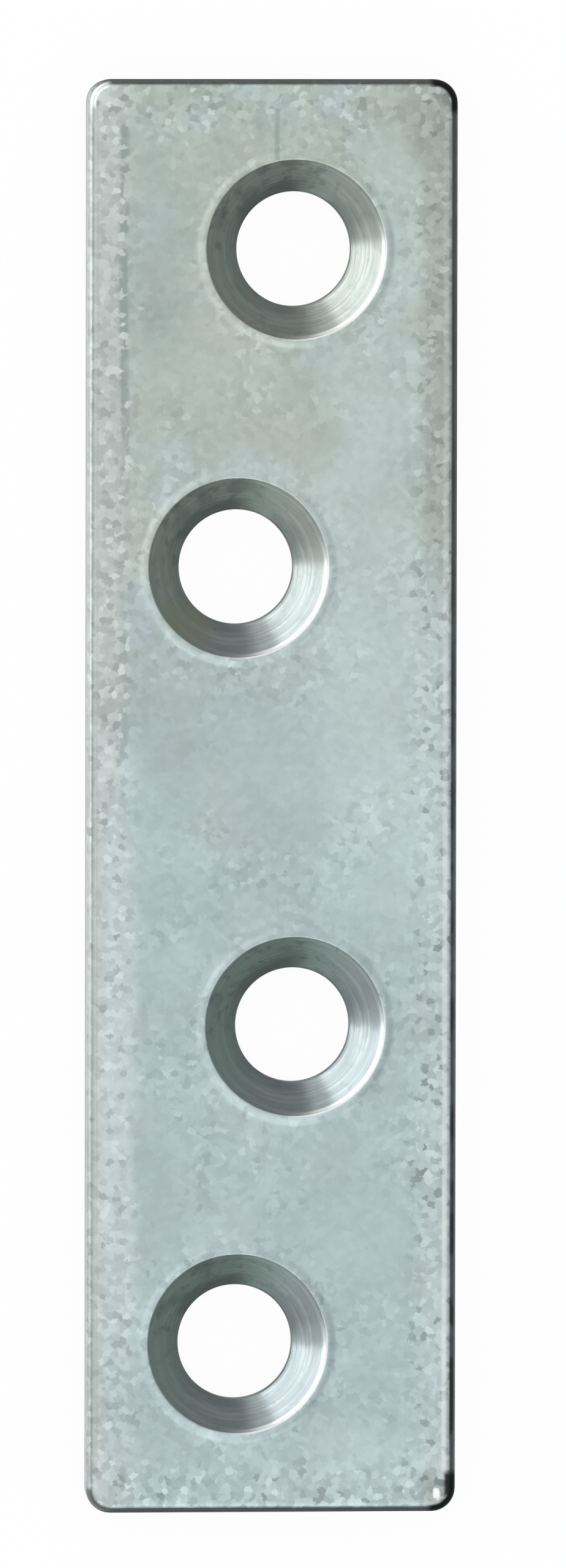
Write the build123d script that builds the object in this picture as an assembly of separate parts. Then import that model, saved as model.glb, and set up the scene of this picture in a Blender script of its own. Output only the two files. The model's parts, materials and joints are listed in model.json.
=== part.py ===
from build123d import *
import os
from math import isclose, radians, tan

# Mending plate: one length of zinc-plated steel strip, pierced with four countersunk screw holes
# that step from side to side along it. All sizes are in millimetres.
# Frame: the back lies on z = 0 with its centre at the origin. The strip runs along Y, and the
# countersinks open towards +Z.

# Strip
LENGTH = 60.0
WIDTH = 15.5
THICKNESS = 2.0
CORNER_RADIUS = 1.0          # seen from the front, where the cut-off die rounds each corner

# Edges
SHOULDER_WIDTH = 1.4         # along both sides the face falls away over this width
SHOULDER_DROP = 0.07         # and by this much, on an arc tangent to the flat middle
FACE_ROLL_RADIUS = 0.40      # the punch draws the face down over the cut edge
BACK_BREAK_RADIUS = 0.12     # the burr on the back is tumbled to a small round

# Screw holes, each for a 4 mm countersunk wood screw
HOLE_DIAMETER = 4.8
COUNTERSINK_DIAMETER = 7.4   # where the cone meets the level of the flat face
COUNTERSINK_ANGLE = 90.0     # included
EXIT_BREAK_RADIUS = 0.10     # on the back, where the screw leaves

# Lip: coining the cone squeezes a low, rounded ring of metal up around each countersink
LIP_REACH = 0.45             # how far the ring spreads outside the countersink
LIP_OVERLAP = 0.35           # how far it starts inside, before the cone is coined
LIP_HEIGHT = 0.06
LIP_FOOT_RADIUS = 0.80       # the ring flows into the flat face
RIM_RADIUS = 0.12            # and rolls over into the cone

# Hole layout: two lines of two holes, taken in turn along the strip
END_TO_OUTER_HOLE = 7.1
HOLE_PITCH = 13.3            # from an outer hole to the inner one beside it, along the strip
STAGGER = 2.4                # across the strip, from one line of holes to the other
STAGGER_CENTRE_X = -0.25     # the pair of lines sits slightly off the centre of the strip

# Sizes that follow from those above
SHOULDER_START = WIDTH / 2 - SHOULDER_WIDTH
SHOULDER_Z = THICKNESS - SHOULDER_DROP
HOLE_RADIUS = HOLE_DIAMETER / 2
COUNTERSINK_RADIUS = COUNTERSINK_DIAMETER / 2
CONE_SLOPE = tan(radians(COUNTERSINK_ANGLE / 2))
CONE_DEPTH = (COUNTERSINK_RADIUS - HOLE_RADIUS) / CONE_SLOPE
LIP_INNER_RADIUS = COUNTERSINK_RADIUS - LIP_OVERLAP
LIP_OUTER_RADIUS = COUNTERSINK_RADIUS + LIP_REACH
LIP_TOP_Z = THICKNESS + LIP_HEIGHT

OUTER_HOLE_Y = LENGTH / 2 - END_TO_OUTER_HOLE
INNER_HOLE_Y = OUTER_HOLE_Y - HOLE_PITCH
RIGHT_LINE_X = STAGGER_CENTRE_X + STAGGER / 2
LEFT_LINE_X = STAGGER_CENTRE_X - STAGGER / 2
HOLE_CENTRES = [
    (RIGHT_LINE_X, OUTER_HOLE_Y),
    (LEFT_LINE_X, INNER_HOLE_Y),
    (RIGHT_LINE_X, -INNER_HOLE_Y),
    (LEFT_LINE_X, -OUTER_HOLE_Y),
]

NEAR = 0.01                  # slack when edges are picked by where they lie


def circles_at(part, z, radius):
    """The part's circular edges of one radius at one height."""
    level = part.edges().filter_by(GeomType.CIRCLE).filter_by_position(Axis.Z, z - NEAR, z + NEAR)
    return level.filter_by(lambda edge: isclose(edge.radius, radius, abs_tol=NEAR))


def rounded_blank():
    """A cut length of the strip: crowned face, rounded corners, rolled face edges, broken back edges."""
    with BuildPart() as blank:
        with BuildSketch(Plane.XZ):
            with BuildLine():
                middle = Line((0, THICKNESS), (SHOULDER_START, THICKNESS))
                shoulder = TangentArc(middle @ 1, (WIDTH / 2, SHOULDER_Z), tangent=middle % 1)
                side = Line(shoulder @ 1, (WIDTH / 2, 0))
                Line(side @ 1, (0, 0))
                mirror(about=Plane.YZ)
            make_face()
        extrude(amount=LENGTH / 2, both=True)
        fillet(blank.edges().filter_by(Axis.Z), CORNER_RADIUS)

        flat_middle = blank.faces().sort_by(Axis.Z)[-1]
        shoulder_seams = flat_middle.edges().filter_by(Axis.Y)
        upper_edges = blank.edges().filter_by_position(Axis.Z, SHOULDER_Z - NEAR, THICKNESS + NEAR)
        fillet(upper_edges - shoulder_seams, FACE_ROLL_RADIUS)

        back = blank.faces().sort_by(Axis.Z)[0]
        fillet(back.edges(), BACK_BREAK_RADIUS)
    return blank.part


def lip_ring():
    """The ring of metal that coining raises, centred on the Z axis and rooted inside the strip."""
    with BuildPart() as ring:
        with BuildSketch(Plane.XZ):
            with BuildLine():
                crown = ThreePointArc(
                    (LIP_INNER_RADIUS, THICKNESS),
                    ((LIP_INNER_RADIUS + LIP_OUTER_RADIUS) / 2, LIP_TOP_Z),
                    (LIP_OUTER_RADIUS, THICKNESS),
                )
                Polyline(
                    crown @ 1,
                    (LIP_OUTER_RADIUS, THICKNESS / 2),
                    (LIP_INNER_RADIUS, THICKNESS / 2),
                    crown @ 0,
                )
            make_face()
        revolve(axis=Axis.Z)
    return ring.part


def mending_plate():
    """The blank with its lips raised, its countersunk holes cut, and every hole edge rounded."""
    with BuildPart() as plate:
        add(rounded_blank())
        with Locations(*HOLE_CENTRES):
            add(lip_ring())
        fillet(circles_at(plate, THICKNESS, LIP_OUTER_RADIUS), LIP_FOOT_RADIUS)

        # The cone starts level with the top of the lip, so that it clears all the metal above it.
        mouth_radius = COUNTERSINK_RADIUS + LIP_HEIGHT * CONE_SLOPE
        with Locations(*[(x, y, LIP_TOP_Z) for x, y in HOLE_CENTRES]):
            CounterSinkHole(HOLE_RADIUS, mouth_radius, counter_sink_angle=COUNTERSINK_ANGLE)
        fillet(circles_at(plate, LIP_TOP_Z, mouth_radius), RIM_RADIUS)
        fillet(circles_at(plate, 0, HOLE_RADIUS), EXIT_BREAK_RADIUS)
    return plate.part


os.makedirs("parts", exist_ok=True)
plate = mending_plate()
plate.label = "plate"
export_step(plate, "parts/plate.step")

land = THICKNESS - CONE_DEPTH - EXIT_BREAK_RADIUS
print(f"hole centres {[(round(x, 3), round(y, 3)) for x, y in HOLE_CENTRES]}")
print(f"cone depth {CONE_DEPTH:.3f}, straight wall below it {land:.3f}")
print(f"volume {plate.volume:.1f} cubic mm, {len(plate.solids())} solid, valid {plate.is_valid}")
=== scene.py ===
# %% [markdown]
# # A zinc-plated mending plate
# This lesson dresses one small piece of ironmongery: a flat steel strip with four countersunk screw
# holes. The strip comes out of a press, so its shape follows rules that Geometry Nodes can write down,
# and its finish is thin bright zinc, which a node material can grow from noise.
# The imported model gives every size. It is loaded first, and nothing in it is moved.

# %% Load the frame
import json
from math import cos, pi, radians, sin

import bpy
from mathutils import Matrix, Vector


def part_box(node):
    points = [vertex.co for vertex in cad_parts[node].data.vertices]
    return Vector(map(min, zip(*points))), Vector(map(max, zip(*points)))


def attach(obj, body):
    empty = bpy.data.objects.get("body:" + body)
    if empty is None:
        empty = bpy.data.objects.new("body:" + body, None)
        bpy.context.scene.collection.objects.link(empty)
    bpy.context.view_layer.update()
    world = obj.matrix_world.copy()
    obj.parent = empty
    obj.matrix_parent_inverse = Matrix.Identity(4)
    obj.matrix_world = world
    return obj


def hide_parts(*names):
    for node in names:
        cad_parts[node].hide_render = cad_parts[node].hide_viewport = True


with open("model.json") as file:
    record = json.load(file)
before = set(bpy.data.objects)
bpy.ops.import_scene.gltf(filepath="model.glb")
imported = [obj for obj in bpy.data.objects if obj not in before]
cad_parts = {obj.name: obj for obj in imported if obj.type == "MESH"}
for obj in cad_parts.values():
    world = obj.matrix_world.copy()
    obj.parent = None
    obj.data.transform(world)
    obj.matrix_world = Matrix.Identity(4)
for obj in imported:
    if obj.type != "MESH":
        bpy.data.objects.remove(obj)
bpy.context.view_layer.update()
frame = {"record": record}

MM = 0.001

# %% [markdown]
# ## Sizes from the model
# The box of the `plate` node gives the width, the length and the height of the lips, and the record's
# mounts say where the screw holes are. The strip itself is 2 mm thick, so what stands above that is lip.

# %% Sizes of the plate
low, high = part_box("plate")
WIDTH = high.x - low.x
LENGTH = high.y - low.y
THICKNESS = 2.0 * MM
LIP_HEIGHT = high.z - THICKNESS

mounts = {mount["name"]: mount for mount in frame["record"]["mounts"]}
HOLE_RADIUS = mounts["screw_hole_1"]["dims"]["r_mm"] * MM
RIGHT_LINE_X, OUTER_HOLE_Y = mounts["screw_hole_1"]["pos_m"][:2]
LEFT_LINE_X, INNER_HOLE_Y = mounts["screw_hole_2"]["pos_m"][:2]
COUNTERSINK_RADIUS = 3.7 * MM
print(f"plate {WIDTH / MM:.2f} x {LENGTH / MM:.2f} mm, lips {LIP_HEIGHT / MM:.3f} mm high")

# %% [markdown]
# ## Node trees that read like formulas
# A node tree is a formula drawn as boxes. Written out in Python it soon turns into long lists of links,
# so here a small class stands for one output socket, and adding or multiplying two of them puts the Math
# node between. The same class serves the geometry and the material, because both kinds of tree know
# Math nodes.

# %% A socket that can be added and multiplied
class Wire:
    """One output of a node. Arithmetic on it adds Math nodes to its tree."""

    def __init__(self, socket):
        self.socket = socket
        self.tree = socket.id_data

    def math(self, operation, *others):
        return math_node(self.tree, operation, self, *others)

    def __add__(self, other):
        return self.math("ADD", other)

    def __sub__(self, other):
        return self.math("SUBTRACT", other)

    def __rsub__(self, other):
        return math_node(self.tree, "SUBTRACT", other, self)

    def __mul__(self, other):
        return self.math("MULTIPLY", other)

    def __truediv__(self, other):
        return self.math("DIVIDE", other)

    def __pow__(self, other):
        return self.math("POWER", other)

    def __neg__(self):
        return self * -1.0

    def __abs__(self):
        return self.math("ABSOLUTE")

    def __lt__(self, other):
        return self.math("LESS_THAN", other)


# %% [markdown]
# A few helpers place the nodes. Values are fed to a node's inputs in the order that the node shows
# them, and an input that is hidden by the node's options is passed over.

# %% Helpers that place nodes
def feed(socket, value):
    """Links a wire to an input, or sets the input's own value."""
    if isinstance(value, Wire):
        value.tree.links.new(value.socket, socket)
    elif value is not None:
        socket.default_value = value


def node(tree, kind, *values, **options):
    made = tree.nodes.new(kind)
    for name, value in options.items():
        setattr(made, name, value)
    for socket, value in zip([s for s in made.inputs if s.enabled], values):
        feed(socket, value)
    return made


def out(made, name=None):
    """The node's output of that name, or else its first one that is shown."""
    return Wire(made.outputs[name] if name else next(s for s in made.outputs if s.enabled))


def math_node(tree, operation, *values):
    return out(node(tree, "ShaderNodeMath", *values, operation=operation))


def vector_math(operation, first, *others):
    return out(node(first.tree, "ShaderNodeVectorMath", first, *others, operation=operation))


def vector(tree, x, y, z=0.0):
    return out(node(tree, "ShaderNodeCombineXYZ", x, y, z))


def split(wire):
    made = node(wire.tree, "ShaderNodeSeparateXYZ", wire)
    return [Wire(made.outputs[axis]) for axis in "XYZ"]


def moved(start, direction, distance):
    """The point that lies some way from the start along a direction."""
    return vector_math("ADD", start, vector_math("SCALE", direction, distance))


def larger(a, b):
    return a.math("MAXIMUM", b)


def between(value, lowest, highest):
    return value.math("MAXIMUM", lowest).math("MINIMUM", highest)


# %% [markdown]
# ## The shape of the plate
# The real plate is sheared from strip and pressed. The shear rolls the face down over its cut edges and
# leaves a band of smooth wall above a torn one. The coining punch sinks a cone round each hole and
# squeezes a low lip of metal up around it.
#
# It could be cut with booleans, but they leave long thin faces that catch the light badly. Here it grows
# from a flat grid by rule instead, and every face is a tidy quad:
#
# 1. squares of cells round each hole are bent into circles, and the grid's corners into arcs,
# 2. the open edges are carried along a section curve, ring by ring, to make the walls and the cones,
# 3. a plainer second sheet closes the back.
#
# The tree's inputs carry names and sizes, so the same tree makes any plate of this family.

# %% The tree and its named sizes
SIZES = {
    "Width": WIDTH,
    "Length": LENGTH,
    "Thickness": THICKNESS,
    "Cell": 0.2 * MM,
    "Corner Radius": 1.0 * MM,
    "Shoulder Width": 1.4 * MM,
    "Shoulder Drop": 0.07 * MM,
    "Face Margin": 0.50 * MM,
    "Roll Radius": 0.40 * MM,
    "Smooth Wall": 0.85 * MM,
    "Tear Depth": 0.035 * MM,
    "Back Margin": 0.25 * MM,
    "Back Break": 0.12 * MM,
    "Hole Radius": HOLE_RADIUS,
    "Countersink Radius": COUNTERSINK_RADIUS,
    "Lip Reach": 0.45 * MM,
    "Lip Height": LIP_HEIGHT,
    "Lip Foot": 0.80 * MM,
    "Rim Radius": 0.12 * MM,
    "Exit Break": 0.10 * MM,
    "Outer Hole": OUTER_HOLE_Y,
    "Inner Hole": INNER_HOLE_Y,
    "Right Line": RIGHT_LINE_X,
    "Left Line": LEFT_LINE_X,
}
shape = bpy.data.node_groups.new("pressed plate", "GeometryNodeTree")
shape.interface.new_socket("Geometry", in_out="OUTPUT", socket_type="NodeSocketGeometry")
size_inputs = {}
for name in SIZES:
    size_inputs[name] = shape.interface.new_socket(
        name, in_out="INPUT", socket_type="NodeSocketFloat"
    ).identifier
finish_input = shape.interface.new_socket(
    "Finish", in_out="INPUT", socket_type="NodeSocketMaterial"
).identifier

inputs = node(shape, "NodeGroupInput")
size = {name: out(inputs, name) for name in SIZES}


def geo(kind, *values, **options):
    """A node of the plate's tree, by the last part of its type's name. Returns its first output."""
    return out(node(shape, "GeometryNode" + kind, *values, **options))


print(f"{len(SIZES)} named sizes")

# %% [markdown]
# The holes step from side to side: the first lies on the right-hand line, the next on the left, and so
# on down the plate. Four points stand at their centres, and every grid point asks for the nearest.

# %% Points at the hole centres
HOLE_COUNT = 4
index = geo("InputIndex")
pairs_above = (index / 2.0).math("FLOOR")
steps_above = (index / 2.0).math("CEIL")
on_the_left = index.math("MODULO", 2.0)
hole_x = size["Right Line"] + (size["Left Line"] - size["Right Line"]) * on_the_left
hole_y = size["Outer Hole"] - (size["Outer Hole"] - size["Inner Hole"]) * steps_above
hole_y = hole_y - size["Inner Hole"] * 2.0 * pairs_above
hole_points = geo("Points", HOLE_COUNT, vector(shape, hole_x, hole_y))

position = geo("InputPosition")
nearest = geo("SampleNearest", hole_points, position, domain="POINT")
hole_centre = geo(
    "SampleIndex", hole_points, position, nearest, data_type="FLOAT_VECTOR", domain="POINT"
)
print(f"{HOLE_COUNT} hole centres, {len(shape.nodes)} nodes so far")

# %% [markdown]
# The grid is counted in cells from its middle. Round each hole stands a square block of cells, and a
# point's `ring` is the square ring of the block that it lies on. The cells inside the ring that becomes
# the edge of the opening are thrown away.

# %% A flat grid with a square opening at each hole
OPENING_RING = 19
BLOCK_RING = 25
half_columns = (size["Width"] / size["Cell"] / 2.0).math("ROUND")
half_rows = (size["Length"] / size["Cell"] / 2.0).math("ROUND")
column_width = size["Width"] / half_columns / 2.0
row_height = size["Length"] / half_rows / 2.0
grid = geo(
    "MeshGrid", size["Width"], size["Length"], half_columns * 2.0 + 1.0, half_rows * 2.0 + 1.0
)

grid_x, grid_y, _ = split(position)
centre_x, centre_y, _ = split(hole_centre)
centre_column = (centre_x / column_width).math("ROUND")
centre_row = (centre_y / row_height).math("ROUND")
columns_off = grid_x / column_width - centre_column
rows_off = grid_y / row_height - centre_row
ring = larger(abs(columns_off), abs(rows_off))
opened = geo("DeleteGeometry", grid, ring < OPENING_RING, domain="FACE", mode="ALL")
print(f"{BLOCK_RING - OPENING_RING} rings of cells round each hole")

# %% [markdown]
# Two rules say where a grid point goes. Near the outline, a point is measured from the nearest point of
# a smaller rectangle, the core, and pulled straight in, which turns each square corner into an arc.
# In a hole's block, the inner ring becomes a circle, the outer one stays put, and the rings between
# are ruled from one to the other.

# %% The two rules
core_x = size["Width"] / 2.0 - size["Corner Radius"]
core_y = size["Length"] / 2.0 - size["Corner Radius"]
near_x = between(grid_x, -core_x, core_x)
near_y = between(grid_y, -core_y, core_y)
out_x, out_y = grid_x - near_x, grid_y - near_y
from_core = larger(abs(out_x), abs(out_y))
outward = vector_math("NORMALIZE", vector(shape, out_x, out_y))
on_core = vector(shape, near_x, near_y)

from_centre = vector_math("NORMALIZE", vector(shape, columns_off, rows_off))
block_corner = vector(
    shape,
    (centre_column + columns_off / ring * BLOCK_RING) * column_width,
    (centre_row + rows_off / ring * BLOCK_RING) * row_height,
)
in_block = ring < BLOCK_RING - 0.5


def sheet(flat_grid, margin, opening_radius):
    """The flat grid, stopping short of the outline by the margin, with round openings."""
    bordered = moved(on_core, outward, from_core * (1.0 - margin / size["Corner Radius"]))
    ruled = out(node(
        shape,
        "ShaderNodeMix",
        (ring - OPENING_RING) / (BLOCK_RING - OPENING_RING),
        moved(hole_centre, from_centre, opening_radius),
        block_corner,
        data_type="VECTOR",
    ))
    place = geo("Switch", in_block, bordered, ruled, input_type="VECTOR")
    return geo("SetPosition", flat_grid, None, place)


# %% [markdown]
# ### Sections
# A section is the line that a saw cut would show: it starts on the sheet's edge and goes over the edge
# and down to the back. Its corners are points with a radius each, and Fillet Curve rounds them. X is how
# far the section has gone sideways, and Z how far it has sunk below the face.

# %% A curve from corners and radii
def choice(kind, values):
    """A value for each index, from a list."""
    made = node(shape, "GeometryNodeIndexSwitch", index, data_type=kind)
    while len(made.index_switch_items) < len(values):
        made.index_switch_items.new()
    for socket, value in zip(made.inputs[1:], values):
        feed(socket, value)
    return out(made)


def section(corners):
    """The rounded curve through corners of (sideways, level), each with a radius and its points."""
    places = choice("VECTOR", [vector(shape, corner[0], 0.0, corner[1]) for corner in corners])
    rounding = choice("FLOAT", [corner[2] if len(corner) > 2 else 0.0 for corner in corners])
    points = choice("INT", [corner[3] if len(corner) > 2 else 1 for corner in corners])
    corner_line = geo("PointsToCurves", geo("Points", len(corners), places))
    return geo("FilletCurve", corner_line, points, rounding, True, mode="POLY")


# %% [markdown]
# The outline's section rolls over the cut edge, runs down the smooth wall that the blade burnished, and
# steps in where the metal tore. At the back the burr has been tumbled to a small round.

# %% The section of the outline
WALL_STRAIGHT = -0.6         # shares of the smooth wall's depth
TEAR_START = -1.0
TEAR_END = -1.15
TORN_STRAIGHT = -0.75        # a share of the thickness
ROLL_POINTS = 10
BREAK_POINTS = 6
wall_x = size["Face Margin"]
torn_x = wall_x - size["Tear Depth"]
outline_section = section([
    (0.0, 0.0),
    (wall_x, 0.0, size["Roll Radius"], ROLL_POINTS),
    (wall_x, size["Smooth Wall"] * WALL_STRAIGHT),
    (wall_x, size["Smooth Wall"] * TEAR_START),
    (torn_x, size["Smooth Wall"] * TEAR_END),
    (torn_x, size["Thickness"] * TORN_STRAIGHT),
    (torn_x, -size["Thickness"], size["Back Break"], BREAK_POINTS),
    (wall_x - size["Back Margin"], -size["Thickness"]),
])
print(f"wall torn below {SIZES['Smooth Wall'] / MM:.2f} mm")

# %% [markdown]
# A hole's section climbs the lip, turns over the rim and goes down the cone at 45 degrees, then down the
# straight wall where the screw passes, and out at the back. It is measured from the edge of the sheet's
# round opening towards the centre. The cone has corners of its own on the way, with no radius, so that
# the rounding of the rim and of the throat does not smear over the whole cone.

# %% The section of a hole
opening_radius = size["Countersink Radius"] + size["Lip Reach"] * 1.45
crown_level = size["Lip Height"] * 0.78
rim_level = size["Lip Height"] * 1.055
rim_radius = size["Countersink Radius"] + rim_level
cone_depth = size["Countersink Radius"] - size["Hole Radius"]


def hole_corner(radius_there, level, *rounding):
    return (opening_radius - radius_there, level, *rounding)


def cone_corner(share):
    """A point of the cone, from 0 at the level of the face to 1 at the straight wall."""
    return hole_corner(size["Countersink Radius"] - cone_depth * share, cone_depth * -share)


CONE_SHARES = (0.1, 0.3, 0.5, 0.7, 0.9)
throat = -cone_depth
lip_foot_radius = size["Countersink Radius"] + size["Lip Reach"]
lip_crown_radius = size["Countersink Radius"] + size["Lip Reach"] * 0.5
hole_section = section([
    (0.0, 0.0),
    hole_corner(lip_foot_radius, 0.0, size["Lip Foot"], 4),
    hole_corner(lip_crown_radius, crown_level, size["Lip Foot"], 3),
    hole_corner(rim_radius, rim_level, size["Rim Radius"], 8),
    *[cone_corner(share) for share in CONE_SHARES],
    hole_corner(size["Hole Radius"], throat, size["Exit Break"] * 0.5, 4),
    hole_corner(size["Hole Radius"], throat * 0.5 - size["Thickness"] * 0.5),
    hole_corner(size["Hole Radius"], -size["Thickness"], size["Exit Break"], 5),
    hole_corner(size["Hole Radius"] + size["Back Margin"], -size["Thickness"]),
])
print(f"cone {(COUNTERSINK_RADIUS - HOLE_RADIUS) / MM:.2f} mm deep")

# %% [markdown]
# ### Walls
# A Repeat Zone carries an open edge along its section. Each turn extrudes the edge without moving it,
# then sets the new points to their place: where they started, plus the section's sideways step along
# their own direction of growth, plus its level. The level stays on the points as an attribute, because
# the material will want to know walls from faces.

# %% Attributes and the loop
def named(name, kind):
    return geo("InputNamedAttribute", name, data_type=kind)


def store(geometry, name, value, kind="FLOAT", domain="POINT", where=None):
    return geo("StoreNamedAttribute", geometry, where, name, value, data_type=kind, domain=domain)


def walls(geometry, edges, curve):
    """The geometry with the given edges carried along the section."""
    point_count = geo("AttributeDomainSize", curve, component="CURVE")
    loop_in = node(shape, "GeometryNodeRepeatInput")
    loop_out = node(shape, "GeometryNodeRepeatOutput")
    loop_in.pair_with_output(loop_out)
    feed(loop_in.inputs["Iterations"], point_count - 1.0)
    feed(loop_in.inputs["Geometry"], store(geometry, "open", edges, "BOOLEAN", "EDGE"))

    place = geo(
        "SampleIndex",
        curve,
        position,
        out(loop_in, "Iteration") + 1.0,
        data_type="FLOAT_VECTOR",
        domain="POINT",
    )
    sideways, _, level = split(place)
    extruded = node(
        shape,
        "GeometryNodeExtrudeMesh",
        out(loop_in, "Geometry"),
        named("open", "BOOLEAN"),
        None,
        0.0,
        mode="EDGES",
    )
    new = out(extruded, "Top")
    spot = moved(named("start", "FLOAT_VECTOR"), named("growth", "FLOAT_VECTOR"), sideways)
    spot = vector_math("ADD", spot, vector(shape, 0.0, 0.0, level))
    grown = geo("SetPosition", out(extruded, "Mesh"), new, spot)
    grown = store(grown, "level", level, where=new)
    feed(loop_out.inputs["Geometry"], store(grown, "open", new, "BOOLEAN", "EDGE"))
    return out(loop_out, "Geometry")


# %% [markdown]
# The face sheet gets both kinds of wall. Its open edges are those with one face only, and the ones that
# lie in a hole's block belong to the hole. The back is a second sheet that stops where the walls end:
# it is turned over, sunk to its level, and its edge points are merged with theirs.

# %% Face, walls and back
inward = vector_math("SCALE", from_centre, -1.0)
growth = geo("Switch", in_block, outward, inward, input_type="VECTOR")
flat = store(opened, "growth", growth, "FLOAT_VECTOR")
flat = store(flat, "at hole", in_block, "BOOLEAN")
at_hole = named("at hole", "BOOLEAN")

face = store(sheet(flat, size["Face Margin"], opening_radius), "start", position, "FLOAT_VECTOR")
on_border = geo("InputMeshEdgeNeighbors").math("COMPARE", 1.0, 0.5)
face = walls(face, on_border * (1.0 - at_hole), outline_section)
on_hole = geo("InputMeshEdgeNeighbors").math("COMPARE", 1.0, 0.5) * at_hole
face = walls(face, on_hole * (named("level", "FLOAT").math("COMPARE", 0.0, 1e-9)), hole_section)

back = sheet(flat, size["Back Margin"], size["Hole Radius"] + size["Back Margin"])
back = geo("SetPosition", back, None, None, vector(shape, 0.0, 0.0, -size["Thickness"]))
back = geo("FlipFaces", store(back, "level", -size["Thickness"]))
MERGE_DISTANCE = 0.002 * MM
both = node(shape, "GeometryNodeJoinGeometry")
for part in (face, back):
    feed(both.inputs[0], part)
body = geo("MergeByDistance", out(both), None, MERGE_DISTANCE)
print(f"{len(shape.nodes)} nodes so far")

# %% [markdown]
# ### Crown
# Shearing draws the face down along both long sides, in a shallow shoulder. Until now every point knew
# only its level below a flat face. Here that becomes its height, and the shoulder squeezes the height
# in proportion, so that the back stays flat on the bench.

# %% Heights
x, y, level = split(position)
into_shoulder = larger(abs(x) - (size["Width"] / 2.0 - size["Shoulder Width"]), 0.0)
drop = size["Shoulder Drop"] * (into_shoulder / size["Shoulder Width"]) ** 2.0
height = (size["Thickness"] + level) * (1.0 - drop / size["Thickness"])
body = geo("SetPosition", body, None, vector(shape, x, y, height))
spoke = vector_math("SUBTRACT", vector(shape, x, y), hole_centre)
body = store(body, "spoke", spoke, "FLOAT_VECTOR")
body = store(body, "from axis", vector_math("LENGTH", spoke))
for name in ("growth", "at hole", "start", "open"):
    body = geo("RemoveAttribute", body, name)
body = geo("SetShadeSmooth", body)
body = geo("RealizeInstances", body)
body = geo("SetMaterial", body, None, out(inputs, "Finish"))
output = node(shape, "NodeGroupOutput", body)
print(f"{len(shape.nodes)} nodes in the tree")

# %% [markdown]
# ## The zinc
# Bright zinc is a few micrometres of metal on steel: a grey metal with a cold tint from the passivation
# dip. A metal's Base Color is the colour of its reflection, so the tint, the blotches, the grain and the
# painted shade and highlights all go into that one input, and the scratches and the coining marks go into
# roughness and bump.
#
# The tree works in millimetres on Object coordinates, so that every pattern has its true size, and it
# reads the attributes that the geometry stored: the level below the face, the distance from the axis of
# the nearest hole, and the spoke that points from there.

# %% The material's tree and its coordinates
zinc = bpy.data.materials.new("zinc_plate")
zinc.use_nodes = True
finish = zinc.node_tree
finish.nodes.clear()


def shade(kind, *values, **options):
    """A node of the zinc's tree. Returns its first output."""
    return out(node(finish, "ShaderNode" + kind, *values, **options))


def attribute(name, output):
    return Wire(node(finish, "ShaderNodeAttribute", attribute_name=name).outputs[output])


here = vector_math("SCALE", Wire(node(finish, "ShaderNodeTexCoord").outputs["Object"]), 1 / MM)
across, along, _ = split(here)
sunk = attribute("level", "Fac") * (-1 / MM)
from_axis = attribute("from axis", "Fac") * (1 / MM)
print("coordinates: across, along, sunk and from_axis, in mm")

# %% [markdown]
# Three small functions do the painting. `grain` is a noise field at a given size in millimetres, and its
# seed only moves it to another place. `ramp` goes smoothly from 0 to 1 between two values. `tint` mixes
# one colour over another.

# %% Grain, ramps and tints
def grain(size_mm, seed, detail=2.0, stretch=(1.0, 1.0, 1.0), coordinates=None):
    """Noise whose lumps are about the given size."""
    where = vector_math("MULTIPLY", coordinates or here, [1.0 / (size_mm * s) for s in stretch])
    where = vector_math("ADD", where, (seed * 17.3, seed * -9.1, seed * 5.7))
    return shade("TexNoise", where, 1.0, detail)


def ramp(value, start, end):
    made = node(value.tree, "ShaderNodeMapRange", value, start, end, interpolation_type="SMOOTHSTEP")
    return out(made)


def tint(share, under, over):
    return shade("Mix", share, under, over, data_type="RGBA")


def colour(red, green, blue):
    return (red, green, blue, 1.0)


# %% [markdown]
# Along the strip the grey turns from green at one end to blue at the other. On top of the drift lie soft
# clouds a few millimetres wide, from noise, and eleven stains with a place of their own: pale ones right
# of the middle, duller ones to the left and at the corners.

# %% Drift, clouds and stains
GREEN_GREY = colour(0.425, 0.490, 0.445)
BLUE_GREY = colour(0.410, 0.505, 0.510)
WARM_GREY = colour(0.450, 0.490, 0.465)
PALE_BLUE = colour(0.470, 0.570, 0.590)
DEEP_GREY = colour(0.365, 0.435, 0.425)
PALE_STAIN = colour(0.500, 0.600, 0.595)
DULL_STAIN = colour(0.340, 0.370, 0.350)
LILAC_GREY = colour(0.400, 0.480, 0.510)
drift = ramp(along + (grain(10.0, 1) - 0.5) * 18.0, 9.0, -1.0)
film = tint(drift, GREEN_GREY, BLUE_GREY)
film = tint(ramp(grain(4.5, 2), 0.46, 0.70) * (1.0 - drift * 0.7) * 0.75, film, WARM_GREY)
film = tint(ramp(grain(3.2, 4), 0.50, 0.72) * 0.50, film, PALE_BLUE)
film = tint(ramp(grain(5.5, 5), 0.52, 0.74) * 0.40, film, DEEP_GREY)


def stain(x, y, reach_x, reach_y, seed):
    """A soft uneven patch, by its centre and its reach in millimetres."""
    away = vector_math("LENGTH", vector(finish, (across - x) / reach_x, (along - y) / reach_y))
    return ramp(away + (grain(2.5, seed) - 0.5) * 0.9, 1.1, 0.4)


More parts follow.
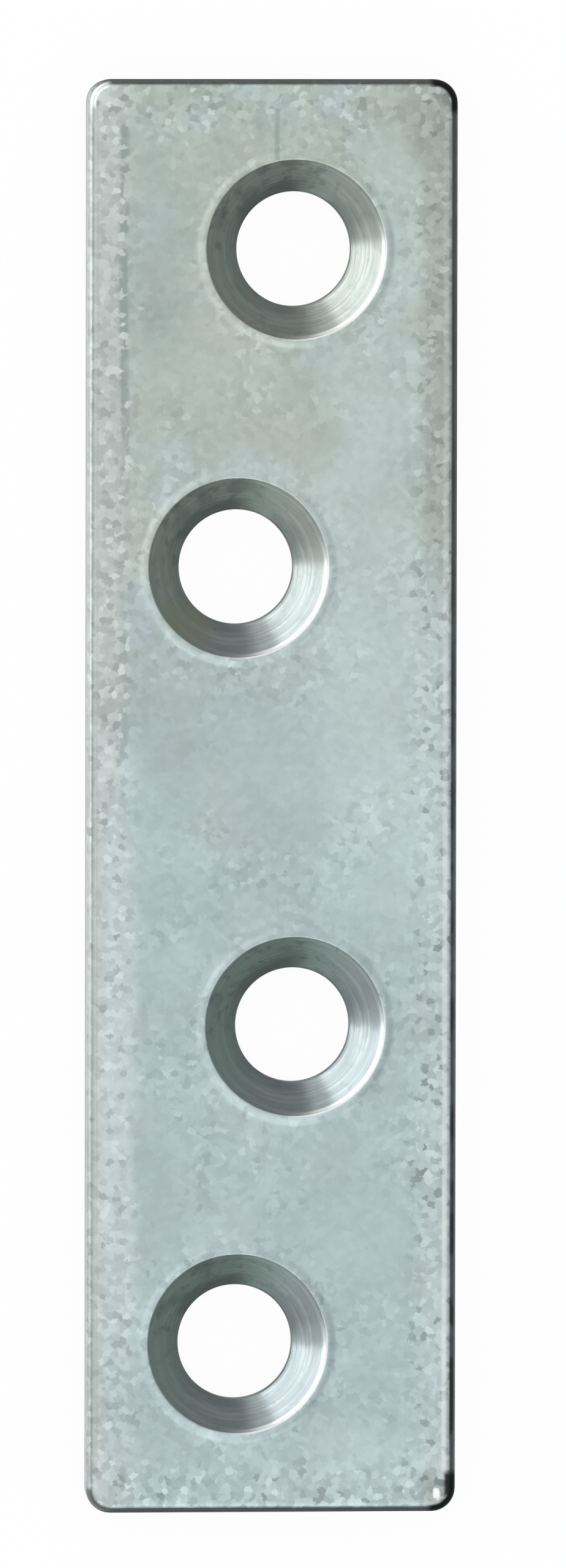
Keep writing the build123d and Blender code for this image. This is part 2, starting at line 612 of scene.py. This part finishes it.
# centre across and along, reach across and along, share, colour
STAINS = [
    (4.2, 5.0, 4.2, 13.0, 0.75, PALE_STAIN),
    (0.2, 0.5, 3.0, 5.0, 0.55, LILAC_GREY),
    (-4.6, 3.6, 2.2, 4.5, 0.60, DEEP_GREY),
    (-5.0, 22.0, 1.8, 5.0, 0.60, DEEP_GREY),
    (6.8, 28.5, 2.6, 3.5, 0.80, DULL_STAIN),
    (4.3, 17.0, 2.6, 3.6, 0.50, PALE_STAIN),
    (3.4, -28.0, 4.2, 2.2, 0.40, PALE_STAIN),
    (7.2, -29.0, 1.1, 2.0, 0.70, DULL_STAIN),
    (-7.0, -29.0, 1.6, 2.0, 0.40, DULL_STAIN),
    (4.9, 23.5, 2.0, 6.0, 0.45, PALE_STAIN),
    (-5.6, 7.8, 1.0, 1.6, 0.60, LILAC_GREY),
]
FIRST_STAIN_SEED = 21
for seed, (x, y, reach_x, reach_y, share, stain_colour) in enumerate(STAINS, FIRST_STAIN_SEED):
    film = tint(stain(x, y, reach_x, reach_y, seed) * share, film, stain_colour)
print(f"{len(STAINS)} stains, {len(finish.nodes)} nodes so far")

# %% [markdown]
# Shearing has drawn down both long edges, and there the zinc is greyer and rougher. The left band has
# a broken dark line along its inner side for the upper half of its length, and a pale border there for
# the lower half.

# %% The left band
BAND_LEFT = colour(0.480, 0.525, 0.510)
BAND_BORDER = colour(0.550, 0.625, 0.635)
LINE_GREY = colour(0.290, 0.345, 0.325)
LEFT_LINE_AT = 6.25          # to the left of the middle, mm
waver = (grain(2.5, 6, stretch=(1.0, 3.0, 1.0)) - 0.5) * 0.8
lower_half = ramp(along + waver * 4.0, 4.0, -3.0)
border_share = ramp(along, -25.0, -17.0) * 0.5 + 0.5
left_border = ramp(across + waver * 1.5, -5.3, -6.3) * lower_half * border_share
film = tint(left_border * 0.80, film, BAND_BORDER)
left_band = ramp(across + waver + lower_half * 0.85, -5.95, -6.35)
short_of_end = ramp(along, -29.8, -27.6)
film = tint(left_band * (short_of_end * 0.35 + 0.45), film, BAND_LEFT)
line_break = ramp(grain(0.8, 7, stretch=(1.0, 2.0, 1.0)), 0.30, 0.50) * ramp(along, 28.6, 27.4)
line_share = (ramp(along, 12.0, 19.0) * 0.5 + 0.5) * (1.0 - lower_half * 0.9)
left_line = ramp(abs(across + waver * 0.35 + LEFT_LINE_AT), 0.26, 0.10) * line_share * line_break

# %% [markdown]
# The right band is dull in the upper half and pale in the lower.

# %% The right band
BAND_DULL = colour(0.355, 0.390, 0.370)
BAND_PALE = colour(0.520, 0.605, 0.600)
dull_half = ramp(along + waver * 4.0, 5.0, 11.0)
right_band = ramp(across + waver * 0.5, 5.95, 6.50)
film = tint(right_band * dull_half * (0.65 - ramp(across, 6.6, 7.4) * 0.10), film, BAND_DULL)
pale_band = ramp(across + waver, 5.8, 6.8) * (1.0 - dull_half) * short_of_end
film = tint(pale_band * 0.6, film, BAND_PALE)
print(f"two bands, {len(finish.nodes)} nodes so far")

# %% [markdown]
# Zinc grows as crystals, a quarter of a millimetre across, and each one mirrors the room a little more or
# less than its neighbours. A Voronoi texture gives every such cell its own random level. Its Smooth F1
# blends the cells' borders a little, and noise bends them, so that they do not look like cut paper. The
# lightest cells are flecks and the darkest are pits. They crowd along the edges, around the holes and in
# a few patches, so one mask drives their contrast.

# %% Crystals
def crystals(size_mm, seed):
    """A random level from 0 to 1 for each crystal."""
    bend = Wire(node(finish, "ShaderNodeTexNoise", here, 2.0 / size_mm, 1.0).outputs["Color"])
    where = moved(here, vector_math("SUBTRACT", bend, (0.5, 0.5, 0.5)), size_mm * 0.7)
    where = vector_math("ADD", where, (seed * 7.9, seed * -3.3, seed * 5.1))
    cells = node(finish, "ShaderNodeTexVoronoi", feature="SMOOTH_F1")
    feed(cells.inputs["Vector"], where)
    feed(cells.inputs["Scale"], 1.0 / size_mm)
    feed(cells.inputs["Smoothness"], 0.25)
    return split(Wire(cells.outputs["Color"]))[0]


# %% [markdown]
# `crowd` says how strong the crystals are at a point. It is highest on the bands and at both ends.

# %% Where the crystals crowd
left_side = ramp(across, -5.2, -6.6)
right_side = ramp(across, 5.2, 6.6)
edge_y = ramp(abs(along), 27.0, 29.2)
around_hole = ramp(from_axis, 5.4, 4.0)
patches = ramp(grain(4.0, 8), 0.46, 0.66)
crowd = left_side * (0.65 - lower_half * 0.15) + right_side * 0.65
crowd = crowd + edge_y * (lower_half * 0.4 + 0.6)
crowd = between(crowd + around_hole * 0.3 + patches * 0.35, 0.0, 1.1)

# %% [markdown]
# Each crystal then lightens or darkens the film by its own level, the more so where they crowd. The ends
# of that scale get colours of their own.

# %% Paint the crystals
FLECK = colour(0.680, 0.760, 0.735)
PIT = colour(0.230, 0.275, 0.265)
CRYSTAL_SIZE = 0.27
crystal = crystals(CRYSTAL_SIZE, 9)
mottle = (grain(3.0, 10, 3.0) - 0.5) * 0.30 + (grain(0.35, 11, 1.0) - 0.5) * 0.10
tone = mottle + (crystal - 0.5) * (crowd * 0.34 + 0.09) + 1.0
film = vector_math("SCALE", film, tone)
film = tint(left_line * ramp(crystal, 0.90, 0.50) * 0.90, film, LINE_GREY)
fleck = ramp(crystal, 0.90, 0.95) * crowd
pit = ramp(crystal, 0.10, 0.05) * crowd
film = tint(fleck * (0.45 - right_side * 0.20), film, FLECK)
film = tint(pit * (right_side * 0.35 + lower_half * 0.25 + 0.25), film, PIT)
print(f"crystals {CRYSTAL_SIZE} mm across")

# %% [markdown]
# On three sides the rolled bend is painted dark, as painted shade and painted dark reflection, with a
# painted highlight line just inside the right one. The left bend is pale, with a faint painted highlight
# and a fine crease along it. The paint stays where it is under any lamp. Below the bend the sheared wall
# has two zones: the blade burnished the upper one, and the lower one tore, which left it grey and rough.
# The level that the geometry stored tells them apart.

# %% Which part of the edge a point is on
BACK_AT = THICKNESS / MM
RIM_AT = COUNTERSINK_RADIUS / MM
off_back = ramp(sunk, BACK_AT - 0.02, BACK_AT - 0.10)
in_cone = ramp(from_axis, RIM_AT + 0.09, RIM_AT - 0.01) * off_back
on_bend = ramp(sunk, 0.55, 0.40) * (1.0 - in_cone)
off_left = larger(ramp(across, -7.45, -7.30), ramp(along, -28.8, -29.1))
right_edge = ramp(across, 7.0, 7.3)
# The bend that gets painted shade: the rolled bend everywhere but on the left side.
shaded_bend = ramp(sunk, 0.005, 0.09 - right_edge * 0.045) * on_bend * off_left
torn_wall = ramp(sunk, 0.84, 0.98) * ramp(sunk, 1.95, 1.86) * (1.0 - in_cone)
top_edge = ramp(along, 29.2, 29.6)
between_corners = ramp(along, 29.1, 28.7) * ramp(along, -28.6, -28.2)
downwards = ramp(along, 28.0, -28.0)

# %% [markdown]
# The painted highlight lines and the dull crease go on first, then the painted shade of the dark bend
# with its black blots of painted dark reflection, and the torn wall last.

# %% Paint the edges and walls
# The first three colours are painted shade, painted dark reflection and painted highlight. The shear grey
# is the wall's own colour.
PAINTED_BEND_SHADE = colour(0.150, 0.175, 0.170)
PAINTED_DARK_REFLECTION = colour(0.045, 0.052, 0.050)
PAINTED_HIGHLIGHT = colour(0.930, 0.960, 0.950)
SHEAR_GREY = colour(0.330, 0.365, 0.355)
HIGHLIGHT_LINE_AT = 7.25        # to the right of the middle, mm
CREASE_AT = 7.42             # to the left, mm
# A painted highlight line just inside the right edge, brighter towards the lower end.
highlight_line = ramp(abs(across - HIGHLIGHT_LINE_AT), 0.15, 0.05) * between_corners * off_back
film = tint(highlight_line * (downwards * 0.32 + 0.08), film, PAINTED_HIGHLIGHT)
crease = ramp(abs(across + CREASE_AT), 0.15, 0.05) * between_corners * on_bend
film = tint(crease * 0.45, film, BAND_DULL)
# A faint painted highlight along the upper part of the left bend.
rim_highlight = ramp(across, -7.55, -7.68) * ramp(along, -20.0, -5.0) * on_bend
film = tint(rim_highlight * 0.2, film, PAINTED_HIGHLIGHT)
lighter_rim = right_edge * between_corners * ramp(sunk, 0.08, 0.20)
# Painted shade and dark reflection on the bend, a little lighter on the top edge and on the outer part of
# the right bend.
film = tint(shaded_bend * (0.92 - top_edge * 0.22 - lighter_rim * 0.35), film, PAINTED_BEND_SHADE)
# Black blots of painted dark reflection along the right bend, strongest towards the lower end.
dark_reflection_blots = ramp(across, 7.2, 7.4) * ramp(grain(0.9, 17, stretch=(1.0, 2.0, 1.0)), 0.40, 0.58)
dark_reflection_blots = shaded_bend * dark_reflection_blots * (1.0 - lighter_rim)
film = tint(dark_reflection_blots * (downwards * 0.75 + 0.10), film, PAINTED_DARK_REFLECTION)
film = tint(torn_wall * 0.80, film, SHEAR_GREY)
print(f"edges and walls, {len(finish.nodes)} nodes so far")

# %% [markdown]
# The corners get painted shade and highlights too. The two right ones are painted nearly black, with a
# painted highlight spot inside the lower one, and the upper left one has a painted highlight arc.

# %% Corners
# The colour of the painted shade in the right corners.
PAINTED_CORNER_SHADE = colour(0.022, 0.027, 0.026)
low_end = ramp(along, -28.2, -28.5)
either_end = larger(ramp(along, 28.4, 28.8), low_end)
# Painted shade: the bend at the two right corners, and a patch at the lower one, turn nearly black.
corner_shade_bend = ramp(sunk, 0.002, 0.03) * either_end * ramp(across, 6.4, 6.8)
corner_shade_patch = low_end * ramp(along, -29.5, -29.2) * ramp(across, 7.18, 7.36)
film = tint(larger(corner_shade_bend, corner_shade_patch) * on_bend * 0.97, film, PAINTED_CORNER_SHADE)
# A painted highlight arc on the bend of the upper left corner.
upper_left = ramp(across, -6.75, -7.0) * ramp(along, 28.7, 29.0)
glint = ramp(sunk, 0.002, 0.015) * ramp(sunk, 0.18, 0.09) * upper_left
film = tint(glint * 0.85, film, PAINTED_HIGHLIGHT)
# A painted highlight spot, uneven at its edge, inside the lower right corner.
spot_x = (across - 6.98) / 0.18
spot_y = (along + 29.25) / 0.28
from_spot = vector_math("LENGTH", vector(finish, spot_x, spot_y))
highlight_spot = ramp(from_spot + (grain(0.25, 20) - 0.5) * 2.0, 1.2, 0.5)
film = tint(highlight_spot * off_back * 0.95, film, PAINTED_HIGHLIGHT)
print("three corners painted")

# %% [markdown]
# The countersinks were coined after the strip was rolled. The cone looks darker than the face, with faint
# turning marks that run round it and a fine orange peel. One half of it gets a greener painted shade, it
# darkens towards the throat with more painted shade, most of all on one side, and the rim has a painted
# highlight, a bright arc, across from there. The lamps give only part of that light and shade, so the
# rest is painted on fixed sides of every cone, and it does not turn with the light. The spoke that the
# geometry stored says which side a point is on.

# %% Turning marks and sides of a cone
DARK_SIDE = (-0.50, 0.87, 0.0)
DARK_TIP = (0.87, 0.50, 0.0)
LEFT_SIDE = (-1.0, 0.0, 0.0)
LIT_SIDE = (0.77, -0.64, 0.0)
SHADED_SIDE = (-0.77, 0.64, 0.0)
unit_spoke = vector_math("NORMALIZE", attribute("spoke", "Vector"))
turned_spoke = vector_math("SCALE", unit_spoke, 1.3)
turning = vector_math("ADD", turned_spoke, vector(finish, 0.0, 0.0, from_axis))
marks = grain(1.0, 11, 2.0, stretch=(1.0, 1.0, 0.11), coordinates=turning)


def on_side(side, start, end):
    """Goes from 0 to 1 as the spoke turns towards a side, between two cosines."""
    return ramp(vector_math("DOT_PRODUCT", unit_spoke, side), start, end)


# %% [markdown]
# The cone gets its own two greys along the same drift, then the turning marks, the painted shade of the
# shaded half and of the dark side, the peel, one olive stain and the painted highlight arc on the rim.

# %% Paint the cones
CONE_WARM = colour(0.365, 0.400, 0.372)
CONE_COLD = colour(0.322, 0.372, 0.385)
OLIVE_GREY = colour(0.340, 0.380, 0.260)
# The next two colours are painted shade.
SHADE_GREEN = colour(0.265, 0.425, 0.345)
PAINTED_THROAT_SHADE = colour(0.160, 0.195, 0.188)
film = tint(in_cone, film, tint(drift, CONE_WARM, CONE_COLD))
film = tint(in_cone * ramp(marks, 0.40, 0.65) * 0.35, film, BAND_PALE)
# Painted shade: the shaded half of each cone turns greener.
film = tint(in_cone * on_side(SHADED_SIDE, -0.3, 0.4) * (drift * 0.2 + 0.3), film, SHADE_GREEN)
patchy = ramp(grain(0.9, 19), 0.46, 0.62) * 0.40 + 0.05
# Painted shade in patches on the dark side of each cone.
film = tint(in_cone * on_side(DARK_SIDE, 0.4, 0.95) * patchy, film, PAINTED_THROAT_SHADE)
# Painted shade towards the throat, strongest on the dark side, weaker on the left side and at one tip.
dark = larger(on_side(DARK_SIDE, 0.65, 0.95) * 0.8, on_side(LEFT_SIDE, -0.2, 0.3) * 0.35)
dark = larger(dark, on_side(DARK_TIP, 0.85, 0.97) * 0.5) * off_back
film = tint(dark * ramp(from_axis + (marks - 0.5) * 0.5, 3.1, 2.6), film, PAINTED_THROAT_SHADE)
# The orange peel, with painted shade: it is stronger on the dark side.
peel_and_shade = ramp(grain(0.45, 18), 0.54, 0.70) * (on_side(DARK_SIDE, 0.0, 0.8) * 0.35 + 0.15)
film = tint(in_cone * peel_and_shade, film, PAINTED_THROAT_SHADE)
olive_stain = stain(-3.6, 7.2, 1.4, 1.6, 32)
film = tint(in_cone * olive_stain * 0.5, film, OLIVE_GREY)
# A painted highlight arc on the rim, on the lit side of each cone.
rim_glint = ramp(abs(from_axis - RIM_AT - 0.02), 0.14, 0.05) * on_side(LIT_SIDE, 0.45, 0.85) * off_back
film = tint(rim_glint * 0.7, film, PAINTED_HIGHLIGHT)
print(f"cones from radius {HOLE_RADIUS / MM:.2f} to {RIM_AT:.2f} mm")

# %% [markdown]
# A few marks of handling come last: one hairline scratch above the top hole and two scuffs in the middle.

# %% Scratch and scuffs
def streak_mask(x, y, width, length, softness):
    """1 on an upright or level streak, by its centre and its size in millimetres."""
    beside = abs(across - x) - width / 2
    beyond = abs(along - y) - length / 2
    return ramp(larger(beside, beyond), softness, 0.0)


scratch = streak_mask(0.15, 27.7, width=0.10, length=2.0, softness=0.10)
left_scuff = streak_mask(-4.0, 2.1, width=1.4, length=0.15, softness=0.2)
middle_scuff = streak_mask(0.2, 1.6, width=2.2, length=0.2, softness=0.3)
scuffs = larger(left_scuff, middle_scuff)
film = tint(scratch * off_back * 0.45, film, PIT)
film = tint(scuffs * off_back * 0.22, film, DEEP_GREY)
print("one scratch and two scuffs")

# %% [markdown]
# The same masks shape the gloss. Flecks and bands are rougher than the bright field between them, and
# the bump lets the light find the grain, the turning marks and the fine rolling lines of the strip.

# %% Gloss, bump and the shader
rolling = grain(0.30, 12, 2.0, stretch=(1.0, 30.0, 1.0))
roughness = (grain(2.0, 13) - 0.5) * 0.12 + 0.29
roughness = roughness + (left_band + right_band) * 0.05 + fleck * 0.08
roughness = roughness - in_cone * 0.05 + torn_wall * 0.15
relief = (grain(0.4, 15) - 0.5) * crowd * 1.5
relief = relief + (rolling - 0.5) * 0.25 + (grain(0.9, 14) - 0.5) * 1.2
relief = relief * (1.0 - in_cone) + (marks - 0.5) * in_cone * 1.5
relief = relief + (grain(0.15, 16) - 0.5) * torn_wall * 3.0
RELIEF_HEIGHT = 0.006 * MM
bump = node(finish, "ShaderNodeBump")
feed(bump.inputs["Strength"], 1.0)
feed(bump.inputs["Distance"], RELIEF_HEIGHT)
feed(bump.inputs["Height"], relief)

metal = node(finish, "ShaderNodeBsdfPrincipled")
feed(metal.inputs["Base Color"], film)
feed(metal.inputs["Metallic"], 1.0)
feed(metal.inputs["Roughness"], roughness)
feed(metal.inputs["Normal"], out(bump))
node(finish, "ShaderNodeOutputMaterial", out(metal, "BSDF"))
print(f"{len(finish.nodes)} nodes in the zinc")

# %% [markdown]
# ## The plate itself
# A Geometry Nodes modifier on an empty mesh grows the plate. Its result is copied to a plain mesh, and
# that mesh stands for the model's own plate from here on.

# %% Grow the plate
holder = bpy.data.objects.new("plate_rule", bpy.data.meshes.new("plate_rule"))
bpy.context.scene.collection.objects.link(holder)
press = holder.modifiers.new("pressed plate", "NODES")
press.node_group = shape
for name, identifier in size_inputs.items():
    press[identifier] = SIZES[name]
press[finish_input] = zinc
grown = holder.evaluated_get(bpy.context.evaluated_depsgraph_get())
plate = bpy.data.objects.new("mending_plate", bpy.data.meshes.new_from_object(grown))
bpy.data.objects.remove(holder)
bpy.context.scene.collection.objects.link(plate)

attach(plate, "root")
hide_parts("plate")

# %% [markdown]
# One more setting is about light, not shape. A cone of 45 degrees mirrors the opposite side of its own
# hole, and that second mirror is where a renderer is at its noisiest and darkest. A real cone is blurred
# by its turning marks and shows a more even tone. So the plate is left out of its own reflections. It
# still casts its shadow and still blocks the soft light. The setting belongs to this scene, and an
# exported plate comes without it.

# %% No mirror in a mirror
plate.visible_glossy = False
plate.data.calc_loop_triangles()
print(f"{len(plate.data.polygons)} faces, {len(plate.data.loop_triangles)} triangles")

# %% [markdown]
# ## The table
# The plate lies on a plain pale table under soft light. The table's colour is nearly white. To a look
# from the camera, and to a reflection, part of it glows at exactly white, so that it stays a clean
# background without more light on the plate, and the rest still takes the plate's shadow. From below the
# table is clear, so that the back of the plate can be looked at too. It lies a hair below the plate,
# because two faces in one plane flicker.

# %% The table
def rectangle(name, corners):
    mesh = bpy.data.meshes.new(name)
    mesh.from_pydata(corners, [], [range(len(corners))])
    made = bpy.data.objects.new(name, mesh)
    bpy.context.scene.collection.objects.link(made)
    return made


def seen_or_mirrored(tree):
    """1 for a look from the camera or a reflection, 0 for light that is gathered by a matt surface."""
    rays = node(tree, "ShaderNodeLightPath")
    seen = larger(Wire(rays.outputs["Is Camera Ray"]), Wire(rays.outputs["Is Glossy Ray"]))
    return larger(seen, Wire(rays.outputs["Is Transmission Ray"]))


def fresh_material(name):
    material = bpy.data.materials.new(name)
    material.use_nodes = True
    material.node_tree.nodes.clear()
    return material, material.node_tree


WHITE = colour(1.0, 1.0, 1.0)
NEARLY_WHITE = colour(0.9, 0.9, 0.9)
TABLE_HALF = 1.5
TABLE_TOP = -0.01 * MM
GLOW_SHARE = 0.95
table = rectangle("table", [
    (-TABLE_HALF, -TABLE_HALF, TABLE_TOP),
    (TABLE_HALF, -TABLE_HALF, TABLE_TOP),
    (TABLE_HALF, TABLE_HALF, TABLE_TOP),
    (-TABLE_HALF, TABLE_HALF, TABLE_TOP),
])
paint, tree = fresh_material("white_table")
matt = out(node(tree, "ShaderNodeBsdfDiffuse", NEARLY_WHITE))
glow = out(node(tree, "ShaderNodeEmission", WHITE, 1.0))
top = out(node(tree, "ShaderNodeMixShader", seen_or_mirrored(tree) * GLOW_SHARE, matt, glow))
from_below = Wire(node(tree, "ShaderNodeNewGeometry").outputs["Backfacing"])
underside = out(node(tree, "ShaderNodeBsdfTransparent"))
table_top = out(node(tree, "ShaderNodeMixShader", from_below, top, underside))
node(tree, "ShaderNodeOutputMaterial", table_top)
table.data.materials.append(paint)
print(f"table {2 * TABLE_HALF} m wide")

# %% [markdown]
# ## Light
# The world is a plain white room. Bright zinc is half a mirror, though, and in an all-white room it would
# lose its edges. In a studio, grey cloth is hung low round such a piece and a grey card is laid beside
# it, and so it is here. Only reflections see the two, and both glow at their own level, so that no lamp
# has to reach them. The cloth has a gap on one side for a lamp, whose low light fills one side of every
# countersink.

# %% The room
world = bpy.data.worlds.new("white_room")
bpy.context.scene.world = world
world.use_nodes = True
world.node_tree.nodes.clear()
ROOM_LEVEL = 0.9
level_seen = seen_or_mirrored(world.node_tree) * (1.0 - ROOM_LEVEL) + ROOM_LEVEL
room = out(node(world.node_tree, "ShaderNodeBackground", WHITE, level_seen))
node(world.node_tree, "ShaderNodeOutputWorld", room)
print(f"the room lights at {ROOM_LEVEL} and looks white")

# %% [markdown]
# The cloth is a half dome of flat facets, out of the way of everything else.

# %% The tent's shape
TENT_RADIUS = 0.6
STEP = 10                    # degrees


def direction(bearing, elevation):
    """The unit vector towards a bearing, counted from +X, and an elevation, both in degrees."""
    flat_part = cos(radians(elevation))
    return Vector((
        flat_part * cos(radians(bearing)), flat_part * sin(radians(bearing)), sin(radians(elevation))
    ))


def only_in_reflections(made):
    made.visible_camera = made.visible_diffuse = made.visible_shadow = False
    made.visible_transmission = made.visible_volume_scatter = False


corners, sides = [], []
for bearing in range(0, 360, STEP):
    for elevation in range(0, 90, STEP):
        first = len(corners)
        corners += [
            direction(bearing, elevation) * TENT_RADIUS,
            direction(bearing + STEP, elevation) * TENT_RADIUS,
            direction(bearing + STEP, elevation + STEP) * TENT_RADIUS,
            direction(bearing, elevation + STEP) * TENT_RADIUS,
        ]
        sides.append(range(first, first + 4))
mesh = bpy.data.meshes.new("tent")
mesh.from_pydata(corners, [], sides)
tent = bpy.data.objects.new("tent", mesh)
bpy.context.scene.collection.objects.link(tent)
only_in_reflections(tent)
print(f"{len(sides)} facets in the tent")

# %% [markdown]
# The cloth hangs low all the way round, apart from the gap for the lamp, and as a thin haze higher up on
# the far side. It is grey near the table and nearly black above, with a lighter part on one side, which
# lifts the tone across each cone from it.

# %% The tent's cloth
LAMP_BEARING = 150.0
FAR_BEARING = 345.0
LIGHT_BEARING = 235.0
CARD_LEVEL = 0.36
veil, tree = fresh_material("graded_veil")
ray = vector_math("NORMALIZE", Wire(node(tree, "ShaderNodeTexCoord").outputs["Object"]))
ray_x, ray_y, ray_z = split(ray)
level_ray = vector_math("NORMALIZE", vector(tree, ray_x, ray_y, 0.0))


def facing(bearing, edge, core):
    """1 within the core angle of a bearing, 0 outside the edge angle, both in degrees."""
    heading = tuple(direction(bearing, 0.0))
    towards = vector_math("DOT_PRODUCT", level_ray, heading)
    return ramp(towards, cos(radians(edge)), cos(radians(core)))


def above(start, end):
    """Goes from 0 at one elevation to 1 at another, in degrees."""
    return ramp(ray_z, sin(radians(start)), sin(radians(end)))


gap = facing(LAMP_BEARING, edge=58.0, core=44.0) * (1.0 - above(16.0, 26.0))
low_band = (1.0 - above(24.0, 38.0)) * (1.0 - gap)
far_side = facing(FAR_BEARING, edge=75.0, core=10.0) * (1.0 - above(60.0, 80.0)) * 0.3
cover = larger(low_band, far_side)
lighter_side = facing(LIGHT_BEARING, edge=45.0, core=25.0) * 0.30
near_table = (1.0 - above(12.0, 24.0)) * (lighter_side + CARD_LEVEL) + 0.03
cloth = out(node(tree, "ShaderNodeEmission", WHITE, near_table))
open_air = out(node(tree, "ShaderNodeBsdfTransparent"))
hanging = out(node(tree, "ShaderNodeMixShader", cover, open_air, cloth))
node(tree, "ShaderNodeOutputMaterial", hanging)
veil.cycles.emission_sampling = "NONE"
mesh.materials.append(veil)
print(f"{len(tree.nodes)} nodes in the cloth")

# %% [markdown]
# The card starts at the plate's left side and reaches out to the right. The face never mirrors it. The
# rolled edges and the shaded side of every cone do.

# %% The card on the table
felt, tree = fresh_material("grey_felt")
node(tree, "ShaderNodeOutputMaterial", out(node(tree, "ShaderNodeEmission", WHITE, CARD_LEVEL)))
felt.cycles.emission_sampling = "NONE"
CARD_REACH = 0.5
CARD_LIFT = 0.02 * MM
card = rectangle("grey_card", [
    (-WIDTH / 2, -CARD_REACH, CARD_LIFT),
    (CARD_REACH, -CARD_REACH, CARD_LIFT),
    (CARD_REACH, CARD_REACH, CARD_LIFT),
    (-WIDTH / 2, CARD_REACH, CARD_LIFT),
])
card.data.materials.append(felt)
only_in_reflections(card)
print(f"card glows at {CARD_LEVEL}")

# %% [markdown]
# Three soft lamps: the low one in the gap, one high above it, and one high over the near end.

# %% The lamps
def lamp(name, bearing, elevation, distance, width, height, radiance):
    """A soft rectangle of light aimed at the plate."""
    data = bpy.data.lights.new(name, "AREA")
    data.shape = "RECTANGLE"
    data.size, data.size_y = width, height
    data.energy = radiance * width * height * pi
    made = bpy.data.objects.new(name, data)
    towards = direction(bearing, elevation)
    made.location = towards * distance
    made.rotation_euler = towards.to_track_quat("Z", "Y").to_euler()
    made.visible_camera = False
    bpy.context.scene.collection.objects.link(made)
    print(f"{name}: {data.energy:.3f} W")


# name, bearing, elevation, distance, width, height, radiance
LAMPS = [
    ("low_lamp", LAMP_BEARING, 11.0, 0.45, 0.60, 0.17, 1.5),
    ("high_lamp", LAMP_BEARING, 62.0, 0.50, 0.36, 0.26, 0.45),
    ("near_lamp", 268.0, 62.0, 0.50, 0.30, 0.26, 0.45),
]
for lamp_sizes in LAMPS:
    lamp(*lamp_sizes)

# %% [markdown]
# ## The camera
# A long lens looks almost straight down, from a little to the left and towards the upper end.

# %% The camera
CAMERA_DISTANCE = 0.80
CAMERA_TILT_LEFT = 4.5
CAMERA_TILT_UP = 3.0
CAMERA_ROLL = 0.10
VIEW_CENTRE = Vector((0.44 * MM, 0.56 * MM, THICKNESS))
VIEW_HEIGHT = 65.54 * MM
lens = bpy.data.cameras.new("long_lens")
lens.sensor_fit = "VERTICAL"
lens.sensor_height = 24.0
lens.lens = lens.sensor_height * CAMERA_DISTANCE / VIEW_HEIGHT
lens.clip_start, lens.clip_end = 0.01, 10.0
camera = bpy.data.objects.new("camera", lens)
away = Vector((-sin(radians(CAMERA_TILT_LEFT)), sin(radians(CAMERA_TILT_UP)), 1.0)).normalized()
rightward = Vector((0.0, 1.0, 0.0)).cross(away).normalized()
turned = Matrix((rightward, away.cross(rightward), away)).transposed()
turned = turned @ Matrix.Rotation(radians(CAMERA_ROLL), 3, "Z")
stand = Matrix.Translation(VIEW_CENTRE + away * CAMERA_DISTANCE)
camera.matrix_world = stand @ turned.to_4x4()
bpy.context.scene.collection.objects.link(camera)
bpy.context.scene.camera = camera
bpy.context.scene.view_settings.view_transform = "Standard"
print(f"lens {lens.lens:.0f} mm at {CAMERA_DISTANCE} m")
